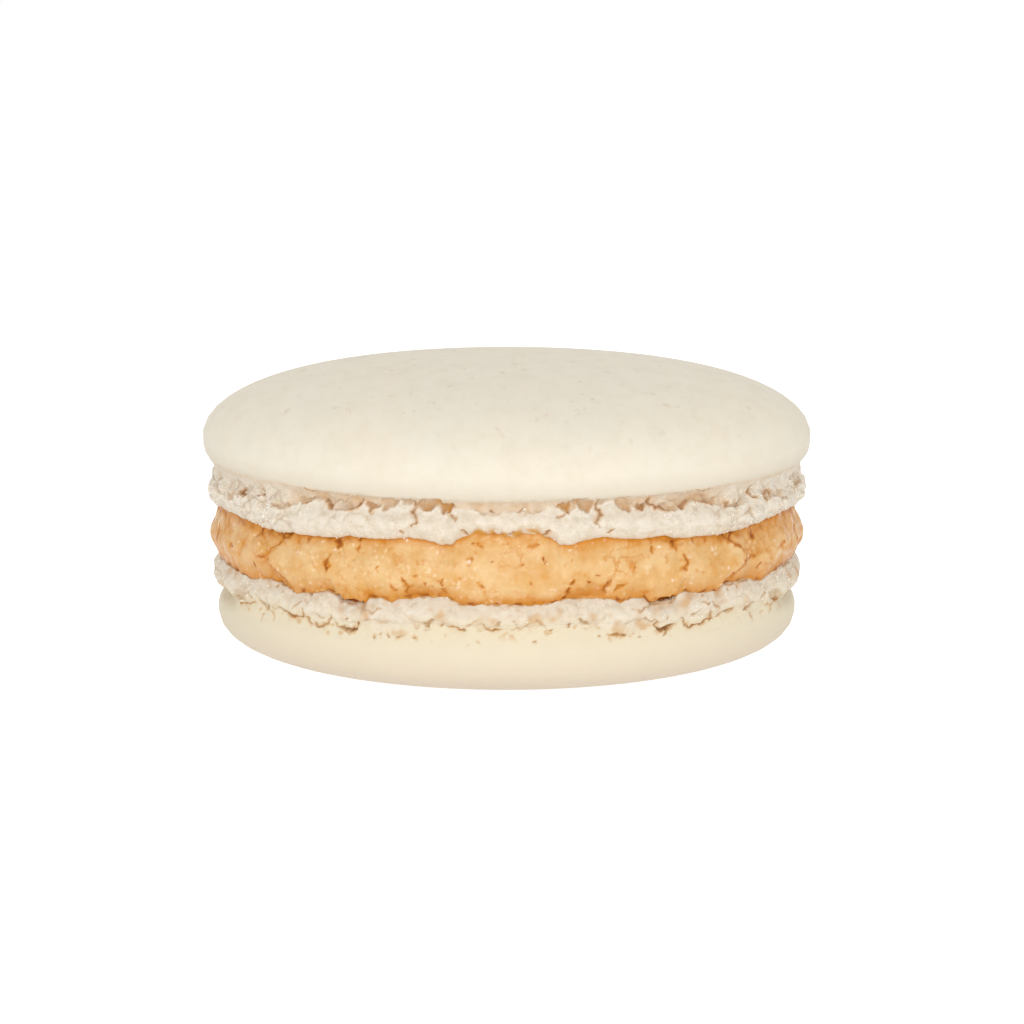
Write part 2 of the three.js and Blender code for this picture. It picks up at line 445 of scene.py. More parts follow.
# Hollows of the crumb: depth, brownness, outline (angle, height).
UPPER_HOLLOWS = [
    (0.20, 0.40, [(67, 13.4), (62, 13.85), (58.2, 14.15), (57, 13.7), (61, 13.55), (64, 13.2)]),
    (0.15, 0.40, [(52.5, 14.6), (51.8, 14.1), (54, 13.6), (53.2, 14.0)]),
    (0.22, 0.50, [(49, 13.6), (46, 14.0), (43.8, 13.75), (46, 13.35)]),
    (0.15, 0.50, [(43.5, 15.05), (42.5, 15.0), (41.8, 14.6)]),
    (0.20, 0.52, [
        (42.3, 14.4), (38, 14.7), (36.5, 15.25), (35.3, 15.2), (32.7, 14.6), (29, 14.6), (32.7, 14.3),
        (33.8, 13.9), (36.2, 14.4), (39.9, 14.2), (41.5, 13.95),
    ]),
    (0.20, 0.30, [(33.3, 13.95), (32.7, 14.3), (29.8, 14.4), (28.6, 14.2), (31, 13.8)]),
    (0.26, 0.85, [(28.6, 14.2), (26.4, 14.65), (24.4, 14.55), (24, 14.4), (25.3, 14.15), (26.2, 14.55)]),
    (0.22, 0.60, [
        (24, 14.4), (22, 15.1), (20.4, 15.15), (19.2, 14.75), (21.5, 14.4), (22.6, 13.95), (23, 14.4),
    ]),
    (0.20, 0.45, [(19.6, 14.75), (17.3, 15.1), (16.3, 14.7)]),
    (0.30, 0.80, [
        (16.4, 14.55), (14.8, 15.1), (11.8, 15.15), (11.3, 14.6), (13.2, 14.5), (14.7, 14.2), (15.5, 14.25),
    ]),
    (0.32, 1.00, [(11.9, 14.7), (9.7, 14.85), (9.1, 14.6), (11.3, 14.0), (11.8, 14.5)]),
    (0.04, 0.20, [(7.2, 14.6), (5.5, 15.1), (4.4, 14.6), (5.5, 14.25)]),
    (0.28, 0.50, [(84, 13.9), (80.5, 14.25), (76, 13.8), (82, 13.7)]),
    (0.20, 0.40, [(74, 14.4), (71.5, 14.55), (70, 14.3), (72, 14.15)]),
]
LOWER_HOLLOWS = [
    (0.35, 0.45, [(66.5, 5.85), (62.4, 6.7), (59.7, 6.8), (58.4, 6.5), (61, 5.8), (64.5, 5.4)]),
    (0.35, 0.75, [(53.9, 6.2), (53, 6.4), (50.4, 5.95), (51.5, 5.75)]),
    (0.15, 0.45, [(46.9, 6.25), (44.3, 6.05), (43.2, 5.7), (45.6, 6.0)]),
    (0.32, 0.70, [(31.9, 5.7), (28.6, 5.6), (29.2, 5.35), (31.3, 5.3)]),
    (0.28, 0.75, [(15.6, 6.25), (13.8, 6.65), (12.7, 6.7), (13.8, 6.25), (14.7, 6.15)]),
    (0.10, 0.28, [(18.5, 7.0), (15.7, 6.6), (15.4, 6.2), (16.9, 5.8)]),
    (0.06, 0.22, [(15, 6.95), (11.6, 7.2), (10.2, 7.0), (11, 6.7)]),
    (0.30, 0.80, [(8.5, 6.0), (7.3, 5.95), (8, 5.8)]),
    (0.25, 0.65, [(2.7, 6.2), (1.8, 6.15), (2.2, 6.0)]),
    (0.06, 0.25, [(6.5, 6.2), (4, 6.5), (2.6, 6.3), (4.5, 5.95)]),
    (0.08, 0.25, [(26.5, 6.2), (24, 6.45), (19.5, 6.3), (22, 6.15)]),
    (0.22, 0.40, [(80, 6.1), (77, 6.4), (71.5, 5.9), (75, 5.8)]),
    (0.14, 0.25, [(88, 6.6), (83, 6.4), (86, 6.2)]),
]
# Sunk and darker places of the cream, the same way; the deeper a place is sunk, the darker it is painted, as
# shade.
CREAM_STAINS = [
    (0.02, 0.8, [(28.5, 8.6), (25, 8.3), (26, 7.9)]),
    (0.02, 0.7, [(22, 11.5), (20.7, 11.5), (21.5, 11.2)]),
    (0.02, 0.7, [(23.7, 10.0), (22.4, 9.9), (23, 9.7)]),
    (0.02, 0.6, [(35, 9.1), (33, 9.0), (34, 8.75)]),
    (0.06, 0.6, [(19.3, 9.3), (17.5, 9.0), (15.5, 9.2), (11, 8.7), (10.2, 8.1), (18, 8.1)]),
    (0.03, 0.7, [(36, 11.9), (30, 12.1), (30, 11.7), (34, 11.5)]),
    (0.03, 0.8, [(25.5, 12.1), (21, 12.2), (23, 11.7)]),
    (0.03, 0.8, [(48.5, 11.8), (43, 11.8), (45, 11.3)]),
    (0.0, 0.5, [(6.5, 12.4), (3, 12.4), (4.5, 11.5)]),
    (0.02, 0.5, [(12, 8.2), (-12, 8.2), (-12, 7.5), (12, 7.5)]),
    (0.45, 1.0, [(34.4, 7.85), (27.2, 7.6), (27.5, 7.0), (33.5, 7.1)]),
]
# Cracks: half width, line (angle, height).
UPPER_CRACKS = [
    (0.06, [(17.3, 15.1), (16.2, 14.5), (17.1, 14.1), (16, 13.5), (16.9, 13.05)]),
    (0.07, [(52.1, 14.8), (51.5, 14.3), (53.9, 13.7)]),
    (0.10, [(60.8, 13.75), (58.4, 14.1), (57, 13.6)]),
    (0.10, [(44.5, 13.85), (43.7, 13.7)]),
    (0.08, [(39.4, 15.2), (38.8, 14.95), (37.6, 14.9)]),
    (0.06, [(41, 13.95), (38.2, 14.35)]),
    (0.07, [(35.6, 14.4), (33.8, 13.9)]),
    (0.08, [(30.9, 13.8), (28.4, 14.15), (26.5, 14.6)]),
    (0.08, [(26, 14.5), (25.3, 14.1), (23.6, 14.4)]),
    (0.06, [(10.5, 14.05), (8.8, 13.75)]),
    (0.06, [(3.3, 14.4), (2, 14.2)]),
    (0.07, [(19.4, 12.9), (18.4, 12.6)]),
    (0.08, [(8, 13.0), (7, 12.65)]),
    (0.06, [(1.3, 12.95), (0.3, 12.7)]),
]
LOWER_CRACKS = [
    (0.08, [(32, 5.7), (31.3, 5.4), (29.2, 5.35), (28.3, 5.9), (27.8, 6.1)]),
    (0.05, [(27.8, 6.15), (25, 6.45)]),
    (0.06, [(31, 5.3), (29.9, 5.0)]),
    (0.08, [(47, 6.2), (44.3, 6.0), (42.6, 5.65)]),
    (0.07, [(41.3, 5.7), (40.3, 6.4)]),
    (0.08, [(40.3, 5.8), (38.8, 5.4), (38.2, 5.4)]),
    (0.08, [(38, 5.45), (36.3, 5.35), (34.6, 5.6), (33.8, 6.2)]),
    (0.05, [(37.9, 6.35), (35.6, 6.05)]),
    (0.05, [(41.2, 6.95), (42.9, 6.35)]),
    (0.05, [(40.6, 7.0), (38.9, 6.8)]),
    (0.06, [(57.9, 6.75), (55.3, 6.35)]),
    (0.05, [(54.6, 4.8), (52.4, 5.5)]),
    (0.05, [(27.3, 7.2), (24.5, 6.9), (23, 7.15)]),
    (0.04, [(7.1, 6.1), (5.4, 6.7)]),
    (0.04, [(1.9, 6.3), (0.9, 6.6)]),
    (0.07, [(51.3, 6.15), (50.6, 5.85)]),
]
CREAM_CRACKS = [
    (0.10, [(54.2, 11.8), (53.7, 11.1), (54.8, 10.85)]),
    (0.12, [(47.6, 11.7), (46.8, 11.05), (47.6, 10.85)]),
    (0.10, [(44.5, 11.65), (45.7, 11.2)]),
    (0.06, [(47.2, 10.8), (49.7, 10.3), (50.2, 9.5), (48, 8.8), (44.2, 8.0)]),
    (0.08, [(40.5, 11.6), (40.1, 11.15)]),
    (0.08, [(53.8, 9.65), (50.9, 9.6)]),
    (0.07, [(55.4, 9.1), (54.9, 8.5)]),
    (0.08, [(65, 9.9), (62.8, 9.7)]),
    (0.09, [(33.2, 11.6), (32.2, 11.5), (32.9, 11.0)]),
    (0.09, [(33.9, 10.5), (34.4, 10.15), (33.6, 9.7), (34.1, 9.45)]),
    (0.08, [(27.7, 12.0), (27.8, 11.7)]),
    (0.11, [(27.8, 11.35), (27.8, 11.05)]),
    (0.06, [(23.2, 10.2), (23.6, 9.9)]),
    (0.09, [(19, 9.45), (17.6, 8.75), (18, 8.45)]),
    (0.06, [(21.5, 9.05), (20.2, 8.55)]),
    (0.06, [(16.8, 9.75), (16.1, 9.65)]),
    (0.09, [(11.8, 9.55), (11.7, 9.1)]),
    (0.07, [(14.9, 9.3), (14.8, 9.05)]),
    (0.10, [(11.5, 8.8), (10.6, 8.3)]),
    (0.09, [(6.8, 11.0), (6.5, 10.7)]),
    (0.08, [(2.7, 10.9), (2.6, 10.7)]),
    (0.08, [(4.7, 9.3), (4, 9.2)]),
    (0.05, [(5.9, 11.85), (3.9, 11.85)]),
    (0.08, [(76, 10.6), (74.5, 10.0), (75.5, 9.3)]),
    (0.07, [(70, 11.2), (69, 10.8)]),
]
# Brown specks in and below the lower crumb, as (angle, height). Each is a very short crack.
LOWER_SPECKS = [
    (25, 5.05), (23.5, 5.3), (22, 5.25), (30.3, 6.25), (17, 5.25), (11.4, 6.25), (7, 4.8), (5.2, 5.1),
    (48.7, 7.55), (46.3, 7.4), (39.7, 7.5),
]
LOWER_CRACKS += [(0.065, [(angle + 0.3, height), (angle - 0.3, height)]) for angle, height in LOWER_SPECKS]


# ---------------------------------------------------------------- crumb and cream relief


def bent_places(rows, phi, z, reach, seed):
    """Angles and heights pushed about by small noises, so that drawn lines turn ragged."""
    across, up = (
        reach * (noise(rows, 0.8, k) + noise(rows, 0.42, k + 1) + 0.6 * noise(rows, 0.26, k + 2))
        for k in (seed, seed + 3)
    )
    return phi + across / DEGREE, z + up


LUMP_LEVEL = 0.42  # height of a lump that counts as level ground


def nuggets(rows, size, sharp, seed):
    """Rounded lumps of a size, some low, some high, with creases as deep as sharp says. Then the share of
    pale ones, paler towards their tops as a painted highlight, and the fine lines between them, which are
    painted as shade."""
    first, second, number = cells(warped(rows, size, 0.25 * size, seed), size, seed + 5)
    mound = np.clip(1 - (first / 0.95) ** 2, 0, 1) ** 0.8
    lump = mound * (1 - sharp * (1 - smooth(second - first, 0, 0.25)))
    pale = smooth(number, 0.35, 0.65) * smooth(lump, 0.5, 0.9)
    crease_shade = 1 - smooth(second - first, 0.01, 0.1)
    return lump * (0.65 + 0.6 * noise(rows, 1.5 * size, seed + 9)), pale, crease_shade


def crumb(rows, lumpy, size, seed):
    """Baked crumb: lumps of two sizes where it is lumpy, a gentle swell and faint grains elsewhere."""
    large, pale, crease_shade = nuggets(rows, size, 0.28, seed)
    small, pale_small, _ = nuggets(rows, 0.5, 0.3, seed + 20)
    swell = fractal(rows, 2.6, seed + 40)
    grain = noise(rows, 0.42, seed + 50) + 0.7 * noise(rows, 0.22, seed + 51)
    relief = 0.6 * lumpy * (large - LUMP_LEVEL) + (0.03 + 0.08 * lumpy) * (small - LUMP_LEVEL)
    relief += 0.05 * swell + (0.012 + 0.025 * lumpy) * grain
    pale = np.clip(lumpy * pale + (0.2 + 0.4 * lumpy) * pale_small, 0, 1)
    return relief, pale, crease_shade * smooth(lumpy, 0.1, 0.5)


def broken_crust(rows, bent, lumpy, size, hollow_outlines, crack_lines, seed):
    """Relief of crumb with hollows and cracks, and its paints: how brown, cracked, pale and coarse it is."""
    # Part of the brown and crack paints is painted shade, in pits and creases, and part of the pale paint is
    # a painted highlight, on lump tops and rims.
    depth, brown, rim = hollows(*bent, hollow_outlines)
    split, around = cracks(*bent, crack_lines, noise(rows, 0.45, seed))
    relief, pale, crease_shade = crumb(rows, lumpy, size, seed + 10)
    patches = smooth(noise(rows, 1.4, seed + 3), -0.5, 0.4)
    # Painted shade: crumb lying below its surroundings is painted brown.
    pits = cavity(relief, 5, 0.2) * (0.2 + 0.6 * lumpy) * patches
    # Painted highlight: crumb standing above its surroundings, the tops of lumps, is painted paler.
    highlight_tips = smooth(relief - blurred(relief, 3), -0.05, 0.06)
    quiet = 1 - 0.65 * smooth(depth, 0.05, 0.2)
    relief = relief * quiet - depth + 0.05 * rim - 0.08 * split
    # Painted shade: the fine creases between lumps are painted dark like cracks.
    torn = split * (0.55 + 0.4 * smooth(noise(rows, 0.7, seed + 1), -0.3, 0.5)) + 0.25 * crease_shade * patches
    brown = brown * (0.9 + 0.3 * noise(rows, 0.6, seed + 2))
    brown = np.maximum.reduce([brown, 0.55 * around, 0.55 * pits])
    # Painted highlights: pale on lump tops and along the rims below hollows. Painted shade: less pale in
    # hollows.
    pale = (0.7 * highlight_tips + 0.4 * pale) * quiet + 0.7 * rim
    return relief, {"brown": brown, "crack_and_shade": torn, "pale": pale, "coarse": lumpy}


def finished(paints, crust):
    """Paints held between 0 and 1 and kept to the crust."""
    return {name: np.clip(value, 0, 1) * crust for name, value in paints.items()} | {"crust": crust}


def pushed_out(rows, relief):
    """Rows moved out along their normals by the relief."""
    return rows + outward(rows) * relief[..., None]


# Degrees from the front over which the rougher sides begin.
UPPER_SIDE = (39, 47)
LOWER_SIDE = (42, 54)
CREAM_SIDE = (30, 44)


def upper_foot():
    """Rows of the upper foot and the skin's edge above it, with paints for the finish.

    In front a pale frill, jagged along its top, stands before a tan recess that runs up to the skin. At the
    sides the crumb is lumpy from top to bottom."""
    # The recess's tan is partly painted shade, and the frill's top is painted as a highlight.
    rows, phi, z = foot_rows(UPPER_FOOT, UPPER_LINES)
    edge, lip = skin_edge(phi[0]), upper_lip(phi[0])
    frill = frill_top(phi[0]) + jagged(phi[0], 0.09, 48)
    side = smooth(np.abs(phi), *UPPER_SIDE)
    middle = 1 - smooth(np.abs(phi), 7, 12)
    crust = smooth(edge - z, -0.1, 0.2)
    lumpy = (0.1 + 0.9 * side) * smooth(edge - z, 0.3, 1.3) * (0.3 + 0.7 * smooth(z - lip, 0.1, 1.0))
    lumpy = lumpy + 0.25 * smooth(np.abs(phi), 14, 30) * (1 - side) * bump(z - frill, -0.5, 0.6)
    bent = bent_places(rows, phi, z, 0.15, 51)
    over = bent[1] - frill
    sunk = all_round(UPPER_HOLLOWS, 52, 13.3, 15.2)
    split = all_round(UPPER_CRACKS, 53, 12.7, 15.1)
    relief, paints = broken_crust(rows, bent, lumpy, 1.25, sunk, split, 60)
    recess = smooth(over, -0.02, 0.14) * smooth(edge - z, 0.05, 0.5) * (1 - 0.9 * side)
    step = 0.15 * recess * (1 - 0.6 * middle)
    relief = crust * (relief - step + 0.04 * bump(over, -0.1, 0.1)) - 0.02 * bump(z - edge, 0, 0.15) * side
    # The recess is painted tan in patches, partly its own colour and partly painted shade.
    patchy = 0.33 + 0.3 * noise(rows, 1.6, 67) + 0.15 * noise(rows, 0.5, 68)
    # Painted shade: a darker line in the crease where the skin's edge meets the crumb.
    crease_shade = (0.1 + 0.25 * smooth(np.abs(phi), 20, 40)) * bump(z - edge, -0.12, 0.12)
    paints["brown"] = np.maximum.reduce([paints["brown"], recess * patchy, crease_shade])
    # Painted shadow: a dark line just above the frill's top, where it stands out before the recess.
    torn = 0.5 * bump(over, 0.04, 0.06) * smooth(noise(rows, 0.9, 69), 0, 0.5) * recess
    paints["crack_and_shade"] = paints["crack_and_shade"] + torn
    # Painted shade: less pale in the recess. Painted highlight: a pale line along the frill's top.
    paints["pale"] = paints["pale"] * (1 - 0.6 * recess) + 0.4 * bump(over, -0.1, 0.12) * (1 - side)
    smeared = smooth(7 - np.abs(phi), 0, 2.5) * smooth(noise(rows, 0.7, 70), -0.5, 0.4)
    paints["brown"] = np.maximum(paints["brown"], 2.2 * bump(z - lip, 0, 0.4) * smeared)
    paints["blush"] = 0.6 * bump(z - lip, 0, 0.2) + 0.15 * bump(phi, 0, 9) + 0.1 * recess
    faded = smooth(edge - z, -0.15, 0.25 + 0.35 * (1 - smooth(np.abs(phi), 18, 35)))
    return pushed_out(rows, relief), finished(paints, faded)


def groove_filled(rows, phi, z):
    """The groove under the lower crumb shows at the sides only. In front and behind, the skin runs straight
    up."""
    radius = np.hypot(rows[..., 0], rows[..., 1])
    missing = np.clip(np.interp(z, *np.array(STRAIGHT).T) - radius, 0, None)
    grown = 1 + smooth(np.abs(np.cos(np.radians(phi))), 0.22, 0.52) * missing / radius
    return rows * np.stack([grown, grown, np.ones_like(z)], axis=-1)


def lower_foot():
    """Rows of the lower foot, from the smooth side of the base up to the cream, with paints.

    The frill ends below in a chain of plates; under it the skin is golden already, though still lumpy."""
    rows, phi, z = foot_rows(LOWER_FOOT, LOWER_LINES)
    rows = groove_filled(rows, phi, z)
    end, lip, plates = crust_end(phi[0]), lower_lip(phi[0]), plate_end(phi[0])
    bent = bent_places(rows, phi, z, 0.15, 81)
    under = plates - bent[1]
    plate = smooth(-under, -0.05, 0.12)
    side = smooth(np.abs(phi), *LOWER_SIDE)
    lumpy = (0.22 + 0.33 * side) * smooth(-under, -1.2, 0.6)
    sunk = all_round(LOWER_HOLLOWS, 82, 5.1, 6.9)
    split = all_round(LOWER_CRACKS, 83, 4.8, 7.4)
    relief, paints = broken_crust(rows, bent, lumpy, 2.3, sunk, split, 100)
    broken = smooth(noise(rows, 1.5, 99), -0.05, 0.4)
    raised = plate * (0.02 + 0.09 * broken)
    relief = smooth(z - end, -0.7, 0.1) * relief + raised
    patchy = smooth(noise(rows, 1.6, 97) + 0.5 * noise(rows, 0.6, 96), 0.0, 0.8)
    # Along the plates' lower edge a dark line, partly cracks and partly painted shade under the plates.
    chain = (0.7 * bump(under, 0.05, 0.09) + 0.25 * bump(under, 0.0, 0.4)) * broken
    spots = 0.6 * smooth(noise(rows, 0.5, 95), 0.4, 0.6) * bump(under, 0.4, 0.5)
    # A dark line just below the top edge, under the cream's overhang: partly a dark joint, partly painted
    # shade.
    uneven = smooth(noise(rows, 0.5, 92) + 0.5 * noise(rows, 1.5, 91), -0.1, 0.3)
    edge = 0.9 * bump(z - lip, -0.1, 0.07) * uneven
    paints["crack_and_shade"] = paints["crack_and_shade"] + 0.6 * edge + 0.8 * bump(under, 0.03, 0.06) * broken
    paints["brown"] = np.maximum.reduce([paints["brown"], 0.65 * patchy * plate, chain, spots, edge])
    # Painted shade: less pale towards the sides. Lighter just below the top edge.
    paints["pale"] = paints["pale"] * (1 - 0.4 * patchy) * (1 - 0.6 * side) + 0.4 * bump(z - lip, -0.25, 0.2)
    paints["blush"] = 0.4 * bump(z - lip, 0, 0.25) + 0.2 * bump(phi, 0, 11)
    crust = (0.8 - 0.1 * side) * smooth(-under, -0.3, 1.4)
    shown = finished(paints, smooth(z - end, -0.5, 0.2))
    return pushed_out(rows, relief), shown | {"crust": crust}


# Lobes of the cream, as (heights, angles where the lobe ends, depth of the step down past its end).
LOBES = [
    ((7.8, 8.5, 9.3, 10.3, 10.8, 11.7), (44, 47.3, 49.7, 49.7, 47.2, 44.5), 0.16),
    ((7.8, 8.8, 10.0, 11.3, 11.9), (66, 69, 70, 69, 67), 0.12),
]
# Painted highlights: wet glints on the cream, painted into its colour: angle, height, half length in mm.
CREAM_GLINTS = [
    (13.5, 11.7, 0.3), (12, 11.4, 0.25), (15.9, 11.8, 0.1), (18.6, 12.1, 0.12), (36.4, 11.3, 0.14),
    (33.6, 10.9, 0.1), (29.2, 11.35, 0.16), (35.2, 10.3, 0.12), (21.8, 9.7, 0.1), (7, 10.7, 0.1),
    (3, 10.8, 0.08), (41.5, 10.6, 0.12), (45, 9.2, 0.08), (8.6, 8.9, 0.1), (31, 8.9, 0.08),
    (56, 10.9, 0.12), (61, 10.4, 0.1), (66, 11.2, 0.1),
]


def glints(phi, z):
    """Painted highlights: small slanting smears of light on the wet cream, from 0 to 1."""
    found = np.zeros_like(z)
    for angle, height, reach in CREAM_GLINTS:
        for side in (-1, 1):
            x = (phi - side * angle) * DEGREE
            up = z - height + 0.4 * side * x
            found = np.maximum(found, bump(x, 0, reach) * bump(up, 0, 0.07))
    return found


def cream_edge():
    """Rows of the cream's edge: soft masses, small lumps, pits and tears.

    The front stands a little forward of the rougher, warmer sides, as a broad lobe."""
    # Painted shade darkens the cream under the upper lip, along its seam, near its lower edge, in its creases
    # and sunk places and past a lobe's end; its glints and part of its pale specks are painted highlights.
    rows, phi, z = foot_rows(CREAM, CREAM_LINES)
    top, low = upper_lip(phi[0]), lower_lip(phi[0])
    bent = bent_places(rows, phi, z, 0.17, 101)
    split, around = cracks(*bent, all_round(CREAM_CRACKS, 103, 8.2, 11.8), noise(rows, 0.4, 107))
    sunk, stain, _ = hollows(*bent, all_round(CREAM_STAINS, 104, 7.2, 12.0))
    step, lobe_edge_shade = np.zeros_like(z), np.zeros_like(z)
    for heights, angles, depth in LOBES[::-1]:
        past = (np.abs(bent[0]) - np.interp(bent[1], heights, angles)) * DEGREE + 0.35 * noise(rows, 1.3, 155)
        side = smooth(past, -0.1, 0.25)
        step = step + depth * side * (1 - smooth(past, 1.0, 7.0))
        # Painted shade: a warmer band just past a lobe's end, where the cream steps down.
        lobe_edge_shade = np.maximum(lobe_edge_shade, bump(past, 0.1, 0.3))
    upper_side = smooth(np.abs(phi), *CREAM_SIDE) * smooth(z - top, -1.2, -0.4)
    rough = 0.35 + 0.65 * np.maximum(side, upper_side)
    calm = 1 - smooth(np.abs(phi), 50, 70)
    masses = 0.09 * fractal(warped(rows, 3.5, 1.0, 110), 3.6, 113, 2)
    lumps, _, crease_shade = nuggets(rows, 1.5, 0.25, 116)
    small, _, _ = nuggets(rows, 0.55, 0.2, 126)
    relief = masses + rough * (0.26 * (lumps - LUMP_LEVEL) + 0.03 * calm * (small - LUMP_LEVEL)) - step
    relief += 0.05 * noise(rows, 0.9, 130) + 0.02 * (1.2 - rough) * noise(rows, 0.35, 131)
    relief += 0.25 * smooth(8 - np.abs(phi), 0, 3) * smooth(z - top, -1.1, -0.2)
    relief = relief - sunk - 0.04 * split
    # Painted shade: darker orange in creases and hollows between the lumps.
    fold_shade = (0.8 * cavity(relief, 5, 0.1) + 0.6 * blurred(crease_shade, 1)) * rough
    fold_shade = fold_shade * smooth(noise(rows, 1.3, 153), -0.4, 0.4)
    # The seam with the lower foot is painted dark in dots, partly a dark joint and partly painted shade.
    seam = bump(z - low, 0.04, 0.14) * smooth(noise(rows, 1.2, 144) + 0.5 * noise(rows, 0.4, 145), -0.5, 0.2)
    dotted = smooth(noise(rows, 0.5, 156), -0.15, 0.25)
    # Painted shade under the upper foot's overhanging lip.
    shade_under_lip = bump(z - top, -0.05, 0.13) + 0.35 * bump(z - top, -0.2, 0.3)
    shade_under_lip = (0.5 + 0.5 * smooth(np.abs(phi), 5, 9)) * shade_under_lip
    # Painted shade: darker orange near the lower edge and, away from the front, near the top under the lip.
    # More veins there too.
    bottom = smooth(low + 1.1 - z, 0, 1.0) + 0.8 * smooth(z - top + 0.9, 0, 0.9) * smooth(np.abs(phi), 4, 20)
    veined = smooth(noise(rows, 2.0, 141), -0.2, 0.5) + 0.5 * side + 0.6 * bottom
    clear = smooth(noise(rows, 1.6, 151), -0.1, 0.5) * (1 - around) * calm
    # Painted highlights: the glints are painted into the colour.
    shine = glints(*bent) * smooth(noise(rows, 0.3, 152), -0.3, 0.2)
    crumbled = smooth(z - top + 0.8, 0, 0.5) * smooth(noise(rows, 0.6, 157), 0.0, 0.35)
    crumbled = crumbled * smooth(np.abs(phi), 24, 36)
    mixed_in = smooth(8 - np.abs(phi), 0, 3) * smooth(z - top, -0.9, -0.1)
    mixed_in = mixed_in * smooth(noise(rows, 0.5, 158), -0.2, 0.3)
    torn = split**1.3 * (0.65 + 0.7 * noise(rows, 0.5, 148))
    warm = 0.7 * stain + 1.3 * around + 0.2 * side + 0.5 * lobe_edge_shade + 0.65 * bottom
    paints = {
        # Painted shade: the deeper a sunk place, the darker it is painted.
        "deep": torn + 4 * sunk * stain + 0.9 * seam * dotted + 0.3 * crumbled,
        "warm": warm + fold_shade + 0.5 * crumbled + 0.45 * mixed_in,
        "shade": shade_under_lip + 0.8 * seam + 0.5 * smooth(z - top, -0.1, 0.1),
        "veined": veined,
        # Pale specks, partly painted highlights.
        "pale": smooth(noise(rows, 0.3, 149), 0.2, 0.7) * clear,
        "shine": shine,
    }
    return pushed_out(rows, relief), {name: np.clip(value, 0, 1) for name, value in paints.items()}


# ---------------------------------------------------------------- meshes


def between(low, high):
    """Triangles between two neighbouring rings, as (ring, point) corners facing out.

    Equal rings join by two triangles a step. A ring with four times the points fans out from the sparse one.
    A ring of one point is a pole. Points are counted on past the seam, so that a map can be cut there."""
    n, m = low, high
    if n == m:
        j = np.arange(n)
        quads = [((0, j), (0, j + 1), (1, j + 1)), ((0, j), (1, j + 1), (1, j))]
    elif n == 1:
        j = np.arange(m)
        quads = [((0, 0 * j), (1, j + 1), (1, j))]
    elif m == 1:
        j = np.arange(n)
        quads = [((0, j), (0, j + 1), (1, 0 * j))]
    elif n > m:
        c, f = np.arange(m), np.arange(m) * (n // m)
        quads = [
            ((0, f), (0, f + 1), (1, c)),
            ((0, f + 1), (0, f + 2), (1, c)),
            ((0, f + 2), (1, c + 1), (1, c)),
            ((0, f + 2), (0, f + 3), (1, c + 1)),
            ((0, f + 3), (0, f + 4), (1, c + 1)),
        ]
    else:
        c, f = np.arange(n), np.arange(n) * (m // n)
        quads = [
            ((0, c), (1, f + 1), (1, f)),
            ((0, c), (1, f + 2), (1, f + 1)),
            ((0, c), (0, c + 1), (1, f + 2)),
            ((0, c + 1), (1, f + 3), (1, f + 2)),
            ((0, c + 1), (1, f + 4), (1, f + 3)),
        ]
    rings = np.concatenate([np.tile([ring for ring, _ in quad], (len(quad[0][1]), 1)) for quad in quads])
    points = np.concatenate([np.stack([place for _, place in quad], axis=-1) for quad in quads])
    return rings, points


STRIPS = 4  # the edge is cut into this many strips on the map
STRIP_SHARE = 0.4  # part of the map's height that the strips fill
STRIP_MARGIN = 0.03  # part of a strip's height left empty above and below
RING_ROOM = 0.3  # millimetres added to each step between rings, so that short steps have room on the map
LOW_DISC = (0.80, 0.75, 0.19)  # middle and radius of the lower side's disc on the map
HIGH_DISC = (0.30, 0.70, 0.29)


